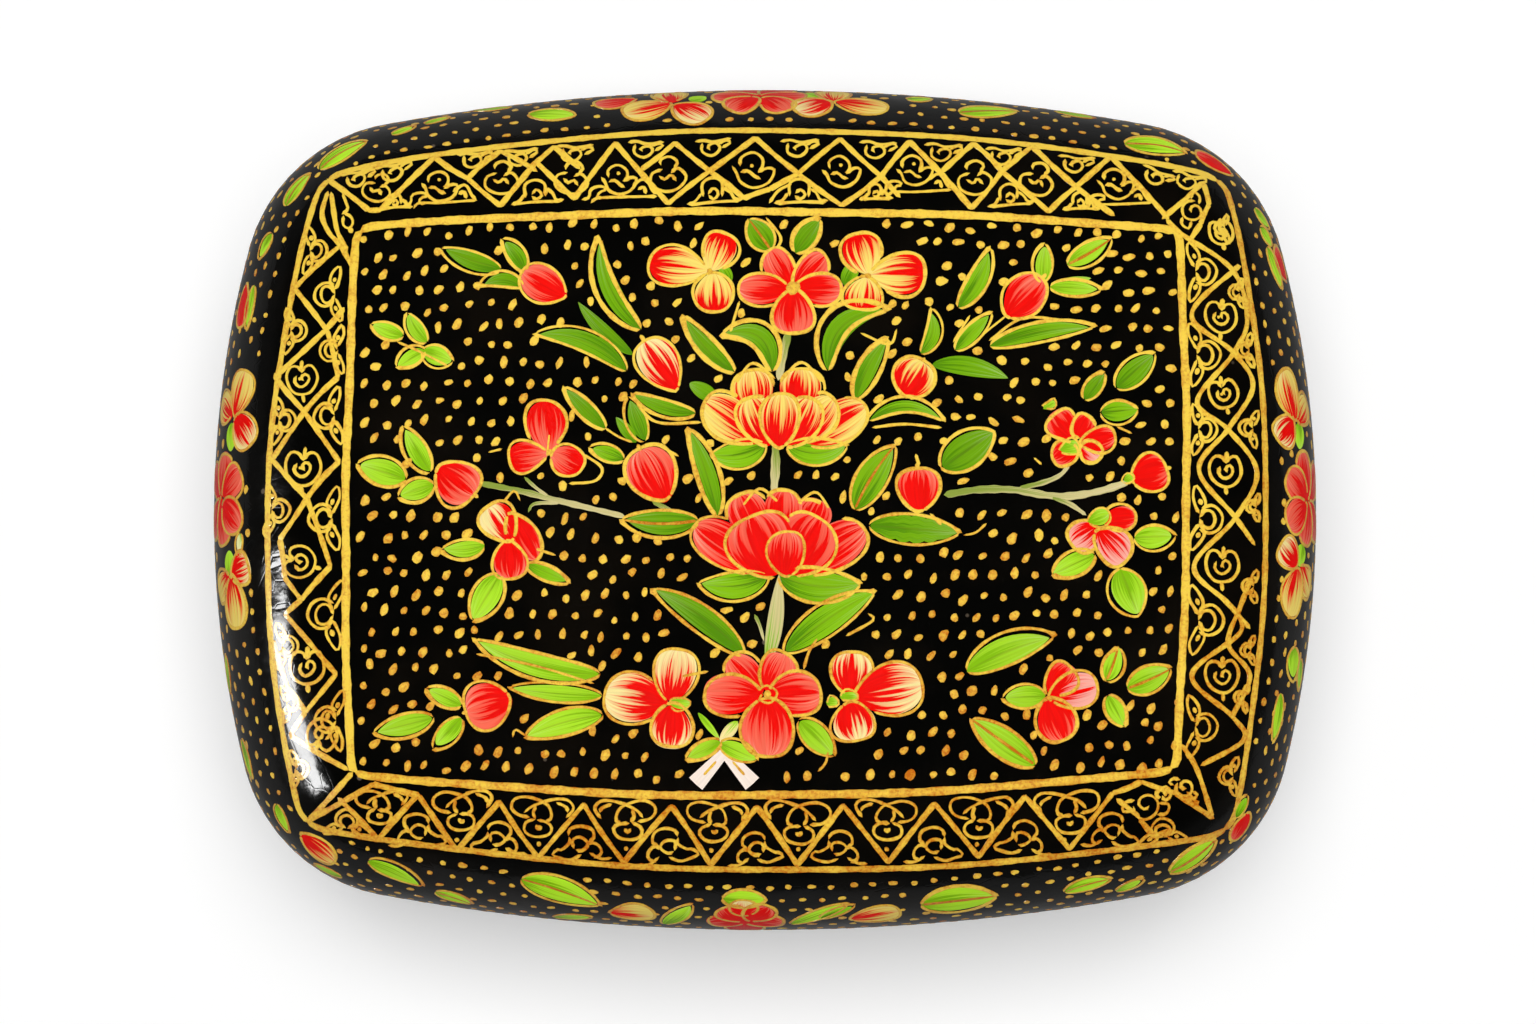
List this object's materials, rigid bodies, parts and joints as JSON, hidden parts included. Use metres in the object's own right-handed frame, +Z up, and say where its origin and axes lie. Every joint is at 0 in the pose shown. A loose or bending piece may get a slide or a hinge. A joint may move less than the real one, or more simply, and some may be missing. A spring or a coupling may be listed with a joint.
{
  "type": "lidded box",
  "caption": "Rounded rectangular papier mache box with a domed lift-off lid that drops over a glued-in collar.",
  "frame": {"origin": "middle of the flat underside of the foot", "axes": "+X along the box's length, +Y towards its back, +Z up through the lid"},
  "size_m": [0.13, 0.0992, 0.056],
  "materials": {
    "black_lacquer": "gloss varnish over black paint",
    "collar_paper": "paper strip, thin dull black paint",
    "gold_paint": "gold paint under varnish",
    "petal_paint": "red, coral and cream brush paint under varnish",
    "leaf_paint": "green brush paint under varnish"
  },
  "bodies": {
    "base": {"base_shell": "black_lacquer", "base_collar": "collar_paper"},
    "lid": {"lid_shell": "black_lacquer"}
  },
  "joints": [
    {"name": "lid_lift", "type": "slide", "parent": "base", "child": "lid", "axis": [0, 0, 1], "range_m": [0, 0.08]}
  ]
}
